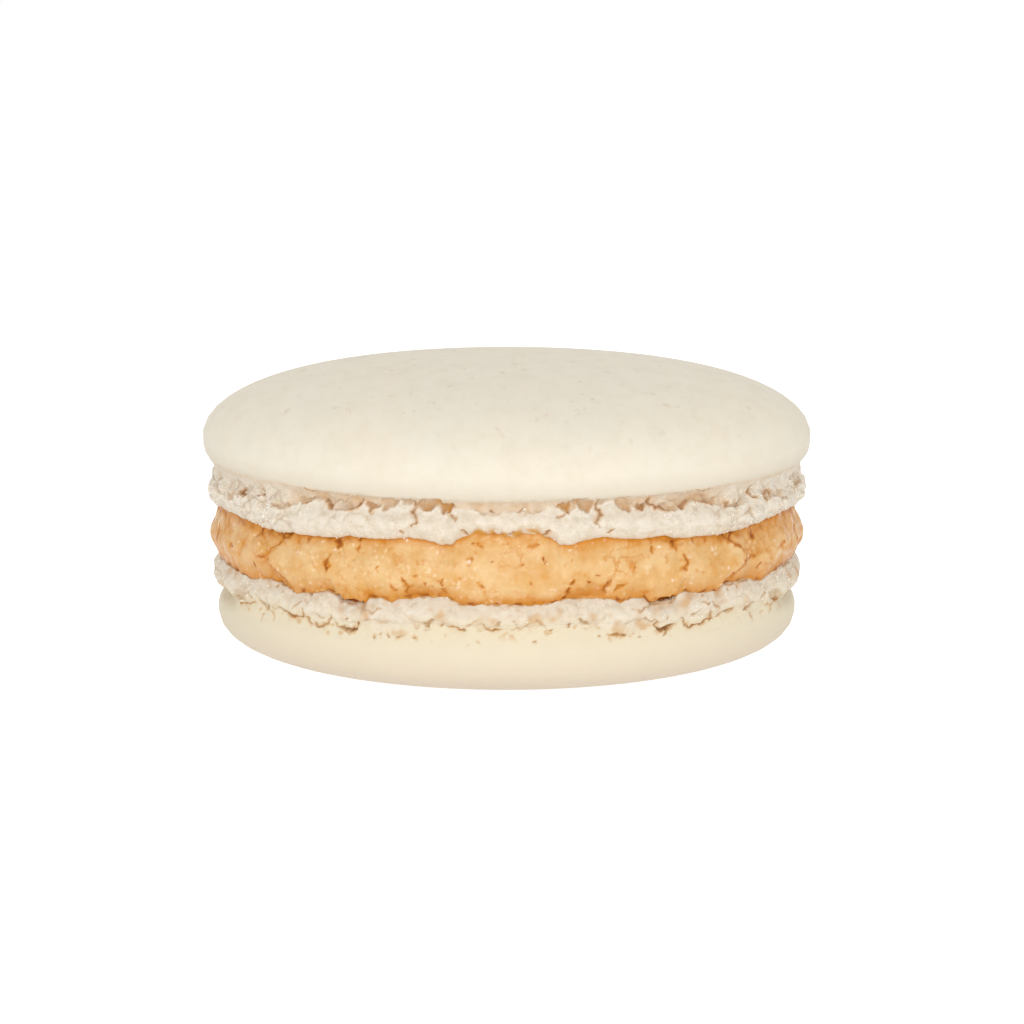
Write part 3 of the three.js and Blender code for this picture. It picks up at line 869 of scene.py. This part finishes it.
def turned_mesh(name, rings, paints, discs):
    """Closed mesh over rings of points from the bottom pole to the top pole, in metres, with its paints as
    vertex attributes and a map of its own: the fine rows as strips, the smooth sides as two discs."""
    counts = [len(r) for r in rings]
    starts = np.concatenate([[0], np.cumsum(counts)])
    points = np.concatenate(rings)
    steps = [0.0]
    for a, b in zip(rings, rings[1:]):
        steps.append(steps[-1] + abs(np.linalg.norm(b[0]) - np.linalg.norm(a[0])) + RING_ROOM)
    fine = [i for i, n in enumerate(counts) if n == FINE]
    corners, places = [], []
    for i, (n, m) in enumerate(zip(counts, counts[1:])):
        ring, point = between(n, m)
        count = np.array([n, m])[ring]
        corners.append(starts[i + ring] + point % count)
        turn = point / count
        if n == m == FINE:
            strip = np.floor(turn.min(axis=1, keepdims=True) * STRIPS + 1e-6)
            up = (i + ring - fine[0]) / (len(fine) - 1) * (1 - 2 * STRIP_MARGIN) + STRIP_MARGIN
            u = turn * STRIPS - strip
            v = (strip + up) / STRIPS * STRIP_SHARE
        else:
            lower = i < fine[0]
            x, y, radius = discs[0] if lower else discs[1]
            span = steps[fine[0]] if lower else steps[-1] - steps[fine[-1]]
            out = np.array(steps)[i + ring]
            out = (out if lower else steps[-1] - out) / span * radius
            spin = turn * 2 * math.pi * (1 if lower else -1)
            u, v = x + out * np.cos(spin), y + out * np.sin(spin)
        places.append(np.stack([u, v], axis=-1))
    corners, places = np.concatenate(corners), np.concatenate(places)
    mesh = bpy.data.meshes.new(name)
    mesh.vertices.add(len(points))
    mesh.vertices.foreach_set("co", (points * MM).ravel())
    mesh.loops.add(corners.size)
    mesh.loops.foreach_set("vertex_index", corners.ravel())
    mesh.polygons.add(len(corners))
    mesh.polygons.foreach_set("loop_start", np.arange(len(corners)) * 3)
    mesh.polygons.foreach_set("use_smooth", np.ones(len(corners), bool))
    mesh.update()
    mesh.validate()
    layer = mesh.uv_layers.new(name="OFBake")
    layer.data.foreach_set("uv", places.ravel())
    for paint, values in paints.items():
        attribute = mesh.attributes.new(paint, "FLOAT", "POINT")
        attribute.data.foreach_set("value", values)
    piece = bpy.data.objects.new(name, mesh)
    bpy.context.collection.objects.link(piece)
    return piece


def coarse_rings(profile):
    """Smooth rings for a list of (radius, height) points; radius 0 is a pole."""
    phi = turns(COARSE)
    return [ring_points(phi, r, 0 * phi + z) if r > 1e-6 else np.array([[0.0, 0.0, z]]) for r, z in profile]


def assemble(name, below, rows, paints, above, discs):
    """One closed piece from smooth rings below, fine rows and smooth rings above. The smooth rings have no
    paint."""
    low, high = coarse_rings(below), coarse_rings(above)
    start, end = sum(map(len, low)), sum(map(len, high))
    full = {k: np.concatenate([np.zeros(start), v.ravel(), np.zeros(end)]) for k, v in paints.items()}
    return turned_mesh(name, [*low, *rows, *high], full, discs)


def make_top_shell(rows, paints):
    """Dome above, crumbly foot below, flat back: one baked piece."""
    back = [(0, UPPER_BACK_Z), (7, UPPER_BACK_Z), (14, UPPER_BACK_Z), (18, 11.6), (20.4, 11.9)]
    return assemble("top_shell_baked", back, rows, paints, curve(CAP, CAP_STEP), (LOW_DISC, HIGH_DISC))


def make_bottom_shell(rows, paints):
    """The same kind of piece turned over: its dome rests on the table."""
    back = [(20.4, 7.75), (18, 7.75), (14, LOWER_BACK_Z), (7, LOWER_BACK_Z), (0, LOWER_BACK_Z)]
    return assemble("bottom_shell_baked", curve(BASE, BASE_STEP), rows, paints, back, (HIGH_DISC, LOW_DISC))


def make_cream():
    """The layer of cream through the middle."""
    rows, paints = cream_edge()
    low = [(0, LOWER_BACK_Z - 0.1), (10, LOWER_BACK_Z - 0.1), (18, 7.55), (20.5, 7.45)]
    high = [(20.5, 12.1), (18, 11.9), (10, UPPER_BACK_Z + 0.1), (0, UPPER_BACK_Z + 0.1)]
    return assemble("nut_cream", low, rows, paints, high, ((0.2, 0.75, 0.18), (0.6, 0.75, 0.18)))


GRAINS = 4000
GRAIN_SIZE = (0.04, 0.1)  # half the width of a grain
GRAIN_CORNERS = np.array([(1, 0, 0), (0, 1, 0), (-1, 0, 0), (0, -1, 0), (0, 0, 1), (0, 0, -1)], float)
GRAIN_FACES = np.array(
    [(0, 1, 4), (1, 2, 4), (2, 3, 4), (3, 0, 4), (1, 0, 5), (2, 1, 5), (3, 2, 5), (0, 3, 5)]
)


def make_sugar(feet):
    """Sugar grains half sunk in the crumb of both feet: uneven eight-sided crystals, each turned its own way.

    A turn is made of two random unit vectors squared up by cross products."""
    rng = np.random.default_rng(5)
    places, normals, weights = [], [], []
    for rows, paints in feet:
        places.append(rows.reshape(-1, 3))
        normals.append(outward(rows).reshape(-1, 3))
        clear = np.clip(1 - 1.6 * paints["brown"] - 2 * paints["crack_and_shade"], 0, 1)
        strewn = smooth(noise(rows, 1.8, 160), -0.3, 0.6) * (0.1 + paints["coarse"])
        weights.append((paints["crust"] * clear * strewn).ravel())
    places, normals, weights = map(np.concatenate, (places, normals, weights))
    chosen = rng.choice(len(places), GRAINS, replace=False, p=weights / weights.sum())
    size = rng.uniform(*GRAIN_SIZE, (GRAINS, 1)) * rng.uniform(0.6, 1, (GRAINS, 1))
    first = rng.normal(size=(GRAINS, 3))
    second = np.cross(first, rng.normal(size=(GRAINS, 3)))
    third = np.cross(first, second)
    axes = [axis / np.linalg.norm(axis, axis=1, keepdims=True) for axis in (first, second, third)]
    turn = np.stack(axes, axis=1)
    shape = GRAIN_CORNERS * rng.uniform(0.6, 1.2, (GRAINS, 6, 1)) * size[:, None]
    points = (places[chosen] + normals[chosen] * size * 0.2)[:, None] + shape @ turn
    faces = (GRAIN_FACES + 6 * np.arange(GRAINS)[:, None, None]).reshape(-1, 3)
    mesh = bpy.data.meshes.new("sugar_grains")
    mesh.from_pydata(points.reshape(-1, 3) * MM, [], faces)
    across = math.ceil(math.sqrt(GRAINS))
    cell = np.stack([np.arange(GRAINS) % across, np.arange(GRAINS) // across], axis=-1)[:, None, None]
    face = np.stack([np.arange(8) % 4 / 4, np.arange(8) // 4 / 2], axis=-1)[:, None]
    corner = np.array([(0.03, 0.05), (0.22, 0.05), (0.03, 0.45)])
    layer = mesh.uv_layers.new(name="OFBake")
    layer.data.foreach_set("uv", ((cell + face + corner) / across).ravel())
    grains = bpy.data.objects.new("sugar_grains", mesh)
    bpy.context.collection.objects.link(grains)
    return grains


# ---------------------------------------------------------------- materials


def colour(code):
    """Linear colour from an sRGB hex code."""
    channels = [int(code[i : i + 2], 16) / 255 for i in (1, 3, 5)]
    return (*[c / 12.92 if c <= 0.04045 else ((c + 0.055) / 1.055) ** 2.4 for c in channels], 1)


def per_mm(size):
    """Texture scale for features of about a size in millimetres."""
    return 1 / (size * MM)


def node(tree, kind, output=0, inputs=None, **settings):
    """Adds a node with its settings and links, and gives one of its outputs.

    An input is a number, a colour or another node's output. With output None it gives nothing."""
    made = tree.nodes.new(kind)
    for key, value in settings.items():
        setattr(made, key, value)
    for key, value in (inputs or {}).items():
        if isinstance(value, bpy.types.NodeSocket):
            tree.links.new(value, made.inputs[key])
        else:
            made.inputs[key].default_value = value
    return None if output is None else made.outputs[output]


def make_material(name, look):
    """A material whose look function adds its patterns and gives the shader's inputs."""
    material = bpy.data.materials.new(name)
    material.use_nodes = True
    tree = material.node_tree
    tree.nodes.clear()
    shader = node(tree, "ShaderNodeBsdfPrincipled", "BSDF", look(tree))
    node(tree, "ShaderNodeOutputMaterial", None, {"Surface": shader})
    return material


def squeezed_place(tree):
    """Object coordinates in which lengths front to back count for less, as in the relief."""
    place = node(tree, "ShaderNodeTexCoord", "Object")
    return node(tree, "ShaderNodeMapping", "Vector", {"Vector": place, "Scale": tuple(SQUEEZE)})


def patches(tree, place, size_mm, low, high, least=0.0, most=1.0, detail=2.0, roughness=0.5):
    """Soft patches of about a size: a noise carried from low and high to least and most, and held there."""
    speckle = {"Vector": place, "Scale": per_mm(size_mm), "Detail": detail, "Roughness": roughness}
    field = node(tree, "ShaderNodeTexNoise", "Fac", speckle)
    reach = {"Value": field, "From Min": low, "From Max": high, "To Min": least, "To Max": most}
    return node(tree, "ShaderNodeMapRange", "Result", reach)


def height_band(tree, place, start_mm, end_mm):
    """From 0 at one height to 1 at another."""
    height = node(tree, "ShaderNodeSeparateXYZ", "Z", {"Vector": place})
    reach = {"Value": height, "From Min": start_mm * MM, "From Max": end_mm * MM}
    return node(tree, "ShaderNodeMapRange", "Result", reach)


def wandering_lines(tree, place, size_mm, width, share):
    """Thin wandering lines: 1 where a noise crosses its middle, kept only in a share of patches."""
    speckle = {"Vector": place, "Scale": per_mm(size_mm), "Detail": 4, "Roughness": 0.6}
    off = node(tree, "ShaderNodeTexNoise", "Fac", speckle)
    for operation, value in (("SUBTRACT", 0.5), ("ABSOLUTE", 0.0)):
        off = node(tree, "ShaderNodeMath", 0, {0: off, 1: value}, operation=operation)
    reach = {"Value": off, "From Min": width, "From Max": 0.2 * width}
    line = node(tree, "ShaderNodeMapRange", "Result", reach)
    kept = patches(tree, place, 2.2 * size_mm, 1 - share, 1.08 - share, detail=1)
    return node(tree, "ShaderNodeMath", 0, {0: line, 1: kept}, operation="MULTIPLY")


def coated(tree, base, coats):
    """A colour with coats laid over it in turn. A coat is its share, that share's strength and a colour."""
    for share, strength, tint in coats:
        if strength != 1:
            share = node(tree, "ShaderNodeMath", 0, {0: share, 1: strength}, operation="MULTIPLY")
        base = node(tree, "ShaderNodeMix", 2, {0: share, 6: base, 7: tint}, data_type="RGBA")
    return base


SKIN = colour("#d8d1c1")
SKIN_WARM = colour("#d9d0be")
# Painted shade: the skin darkens where it turns under the cap's rim, with a little more baking there.
SKIN_RIM_SHADE = colour("#cec4b2")
SKIN_GOLD = colour("#d2c5aa")
SKIN_BAKED = colour("#d2c7af")
# Darker and greyer towards the very bottom of the base.
SKIN_LOWEST = colour("#cabba8")
SKIN_DULL = colour("#cbc0a9")
FLECK = colour("#b89c78")
CRUST = colour("#c0b29a")
# Pale crumb, also the colour of the painted highlights on the crumb.
CRUST_PALE = colour("#d6ccbc")
CRUST_PINK = colour("#cfb394")
# Tan of the hollows and recess, partly painted shade, and of the painted shade in pits and creases.
HOLLOW = colour("#c08a40")
HOLLOW_LOW = colour("#bc8f56")
# Colours of cracks, also used for painted shade in creases and painted shadow under plates, above the frill
# and under the cream.
CRACK = colour("#85501f")
CRACK_LOW = colour("#966632")
SKIN_ROUGHNESS = (0.72, 0.72, 0.72, 1)  # as a grey, because it is mixed as a colour
GRAIN_WHITE = colour("#efeae1")
GRAIN_WARM = colour("#e3d8c6")


def baked_meringue(tree):
    """Almond meringue, piped and baked: a smooth matt skin, faintly flecked with ground almond and a little
    more golden towards the tray, that breaks into a pale sugary crumb at the foot, tan in its hollows and
    brown down its cracks. Painted shade darkens the skin just above its lower rim and the crumb's pits,
    creases and recess, where the tan is partly painted shade too; painted highlights lighten the tops of its
    lumps, the rims below its hollows and the frill's top."""
    place = squeezed_place(tree)
    crust, brown, crack_and_shade, blush, pale, coarse = (
        node(tree, "ShaderNodeAttribute", "Fac", attribute_name=paint)
        for paint in ("crust", "brown", "crack_and_shade", "blush", "pale", "coarse")
    )

    skin = coated(tree, SKIN, [
        (patches(tree, place, 6, 0.35, 0.65, detail=3), 1, SKIN_WARM),
        # painted shade just above the cap's lower rim, with a little more baking
        (height_band(tree, place, 16.7, 15.3), 1, SKIN_RIM_SHADE),
        (height_band(tree, place, 8.0, 6.0), 1, SKIN_GOLD),
        (height_band(tree, place, 5.6, 4.2), 1, SKIN_BAKED),
        # darker and greyer towards the very bottom
        (height_band(tree, place, 4.2, 1.5), 1, SKIN_LOWEST),
        (patches(tree, place, 1.6, 0.42, 0.68, most=0.3, detail=5, roughness=0.65), 1, SKIN_DULL),
        (patches(tree, place, 0.9, 0.645, 0.76, most=0.34), height_band(tree, place, 17, 21), FLECK),
    ])
    crumb_colour = coated(tree, CRUST, [
        (patches(tree, place, 0.6, 0.25, 0.6, detail=3, roughness=0.6), 1, CRUST_PALE),
        # pale paint: partly pale crumb, mostly painted highlights on lump tops, rims and the frill's top
        (pale, 0.7, CRUST_PALE),
        (blush, 0.6, CRUST_PINK),
    ])
    hairs = wandering_lines(tree, place, 1.1, 0.012, 0.5)
    browned = crust
    for operation, value in (("MULTIPLY", 0.45), ("MULTIPLY", hairs), ("MAXIMUM", brown)):
        browned = node(tree, "ShaderNodeMath", 0, {0: browned, 1: value}, operation=operation)
    upper = height_band(tree, place, 8.0, 10.0)
    whole = coated(tree, skin, [
        (crust, 1, crumb_colour),
        # brown paint: tan hollows and recess, partly painted shade, and painted shade in pits and creases
        (browned, 1, coated(tree, HOLLOW_LOW, [(upper, 1, HOLLOW)])),
        # cracks, and painted shade and shadow in creases, above the frill, under plates and under the cream
        (crack_and_shade, 1, coated(tree, CRACK_LOW, [(upper, 1, CRACK)])),
    ])
    dull = patches(tree, place, 0.5, 0.35, 0.6, 0.35, 0.75)

    grain = node(tree, "ShaderNodeTexVoronoi", "Distance", {"Vector": place, "Scale": per_mm(0.42)})
    reach = {"Value": grain, "From Min": 0.45, "From Max": 0.1}
    grain_top = node(tree, "ShaderNodeMapRange", "Result", reach)
    fine = node(tree, "ShaderNodeTexNoise", "Fac", {"Vector": place, "Scale": per_mm(0.2), "Roughness": 0.6})
    broad = node(tree, "ShaderNodeTexNoise", "Fac", {"Vector": place, "Scale": per_mm(0.9)})
    broad = node(tree, "ShaderNodeMath", 0, {0: broad, 1: 0.3}, operation="MULTIPLY")
    on_lumps, on_crust = (
        node(tree, "ShaderNodeMapRange", "Result", {"Value": paint, "From Max": full, "To Min": least})
        for paint, full, least in ((coarse, 0.8, 0.25), (crust, 1, 0.2))
    )
    relief = grain_top
    for operation, value in (
        ("MULTIPLY", 0.7), ("ADD", fine), ("MULTIPLY", on_lumps), ("MULTIPLY", on_crust), ("ADD", broad),
    ):
        relief = node(tree, "ShaderNodeMath", 0, {0: relief, 1: value}, operation=operation)
    tooth = {"Height": relief, "Strength": 0.6, "Distance": 0.1 * MM}
    return {
        "Base Color": whole,
        "Roughness": coated(tree, SKIN_ROUGHNESS, [(crust, 1, dull)]),
        "Normal": node(tree, "ShaderNodeBump", "Normal", tooth),
        "IOR": 1.45,
        "Specular IOR Level": 0.3,
        "Subsurface Weight": 0.15,
        "Subsurface Radius": (1.0, 0.75, 0.5),
        "Subsurface Scale": 0.6 * MM,
    }


CREAM_PALE = colour("#ecd6b4")
CREAM_LIGHT = colour("#d7b482")
CREAM_MID = colour("#c99652")
CREAM_SHADE = colour("#c07714")
CREAM_DEEP = colour("#853e00")
# Colour of the painted glints.
CREAM_GLINT = colour("#efdac8")


def whipped_nut_cream(tree):
    """Buttercream beaten with nut paste: soft and slightly moist, pale where it swells and deep caramel where
    it creases, with small darker specks of nut and wet glints. The caramel in its creases, near its edges,
    under the lip, along its seam and in sunk places is partly painted shade; the wet glints and part of the
    pale specks are painted highlights."""
    place = squeezed_place(tree)
    deep, shade, warm, pale, veined, shine = (
        node(tree, "ShaderNodeAttribute", "Fac", attribute_name=paint)
        for paint in ("deep", "shade", "warm", "pale", "veined", "shine")
    )
    coats = [
        (patches(tree, place, 2.2, 0.32, 0.62, detail=4, roughness=0.6), 1, CREAM_LIGHT),
        # warm paint: orange stains and halos, and painted shade in creases, near the edges and past lobe ends
        (warm, 0.8, CREAM_SHADE),
        # pale specks, partly painted highlights
        (pale, 0.5, CREAM_PALE),
    ]
    for size_mm, strength in ((2.4, 0.45), (1.2, 0.4)):
        vein = {0: wandering_lines(tree, place, size_mm, 0.03, 0.55), 1: veined}
        coats.append((node(tree, "ShaderNodeMath", 0, vein, operation="MULTIPLY"), strength, CREAM_SHADE))
    coats += [
        (patches(tree, place, 0.6, 0.62, 0.72, most=0.45), 1, CREAM_SHADE),
        (shade, 0.8, CREAM_SHADE),
        (deep, 1, CREAM_DEEP),
        # painted highlights of the wet glints
        (shine, 1, CREAM_GLINT),
    ]
    fine, soft = (
        node(tree, "ShaderNodeTexNoise", "Fac", {"Vector": place, "Scale": per_mm(size), "Roughness": rough})
        for size, rough in ((0.25, 0.6), (0.6, 0.5))
    )
    relief = node(tree, "ShaderNodeMath", 0, {0: fine, 1: soft}, operation="ADD")
    swell = {"Height": relief, "Strength": 0.38, "Distance": 0.08 * MM}
    return {
        "Base Color": coated(tree, CREAM_MID, coats),
        "Roughness": patches(tree, place, 0.7, 0.35, 0.6, 0.22, 0.55),
        "Normal": node(tree, "ShaderNodeBump", "Normal", swell),
        "IOR": 1.46,
        "Specular IOR Level": 0.2,
        "Subsurface Weight": 0.15,
        "Subsurface Radius": (1.0, 0.5, 0.2),
        "Subsurface Scale": 0.6 * MM,
    }


def pale_sweep(_tree):
    """Matt studio sweep that gives back a little light of its own, as a lit one does."""
    return {
        "Base Color": colour("#909090"),
        "Roughness": 0.9,
        "Emission Color": (1, 1, 1, 1),
        "Emission Strength": 0.88,
    }


def sugar(tree):
    """Sugar grains: clear crystals, white as a heap, with smooth facets that glint."""
    place = node(tree, "ShaderNodeTexCoord", "Object")
    tint = patches(tree, place, 0.4, 0.4, 0.6, detail=1)
    return {
        "Base Color": coated(tree, GRAIN_WHITE, [(tint, 1, GRAIN_WARM)]),
        "Roughness": patches(tree, place, 0.15, 0.4, 0.6, 0.12, 0.4, detail=1),
        "IOR": 1.54,
    }


# ---------------------------------------------------------------- building

MERINGUE = make_material("baked_meringue", baked_meringue)
NUT_CREAM = make_material("whipped_nut_cream", whipped_nut_cream)
FEET = (upper_foot(), lower_foot())

for piece, material, cad_nodes, slot in (
    (make_top_shell(*FEET[0]), MERINGUE, ["top_shell"], "baked_shell"),
    (make_cream(), NUT_CREAM, ["filling"], "nut_cream"),
    (make_bottom_shell(*FEET[1]), MERINGUE, ["bottom_shell"], "baked_shell"),
    (make_sugar(FEET), make_material("sugar", sugar), [], "baked_shell"),
):
    piece.data.materials.append(material)
    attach(piece, "root")
    for cad_node in cad_nodes:
        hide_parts(cad_node)

# ---------------------------------------------------------------- studio


FLOOR_REACH = 3.0  # metres each way
SOFTBOX_WATTS = 2.05
WINDOW_WATTS = 0.5


def make_floor():
    """Flat pale sweep under the biscuit."""
    side = FLOOR_REACH
    mesh = bpy.data.meshes.new("floor")
    corners = [(-side, -side, 0), (side, -side, 0), (side, side, 0), (-side, side, 0)]
    mesh.from_pydata(corners, [], [(0, 1, 2, 3)])
    mesh.materials.append(make_material("pale_sweep", pale_sweep))
    floor = bpy.data.objects.new("floor", mesh)
    bpy.context.collection.objects.link(floor)


def make_light(name, place, aim, size, power):
    """Soft rectangular lamp that faces a point; place and size in metres."""
    data = bpy.data.lights.new(name, "AREA")
    data.shape = "RECTANGLE"
    data.size, data.size_y = size
    data.energy = power
    lamp = bpy.data.objects.new(name, data)
    lamp.location = place
    lamp.rotation_euler = (Vector(aim) - Vector(place)).to_track_quat("-Z", "Y").to_euler()
    bpy.context.collection.objects.link(lamp)


def make_studio():
    """White surroundings that light the sides a little less, a large soft lamp in front and a small one
    above it."""
    world = bpy.data.worlds.new("studio")
    bpy.context.scene.world = world
    world.use_nodes = True
    tree = world.node_tree
    background = tree.nodes["Background"]
    background.inputs["Color"].default_value = (1, 1, 1, 1)
    direction = node(tree, "ShaderNodeTexCoord", "Generated")
    across = node(tree, "ShaderNodeSeparateXYZ", "X", {"Vector": direction})
    sideways = node(tree, "ShaderNodeMath", 0, {0: across, 1: across}, operation="MULTIPLY")
    reach = {"Value": sideways, "From Min": 0.15, "From Max": 0.9, "To Min": 1.0, "To Max": 0.7}
    light = node(tree, "ShaderNodeMapRange", "Result", reach)
    seen = node(tree, "ShaderNodeLightPath", "Is Camera Ray")
    strength = node(tree, "ShaderNodeMath", 0, {0: light, 1: seen}, operation="MAXIMUM")
    tree.links.new(strength, background.inputs["Strength"])
    bpy.context.scene.view_settings.view_transform = "Standard"
    make_light("front_softbox", (0, -0.8, 0.17), (0, 0, 0.01), (0.5, 0.26), SOFTBOX_WATTS)
    make_light("window", (0, -0.6, 0.5), (0, 0, 0.01), (0.05, 0.05), WINDOW_WATTS)


make_floor()
make_studio()
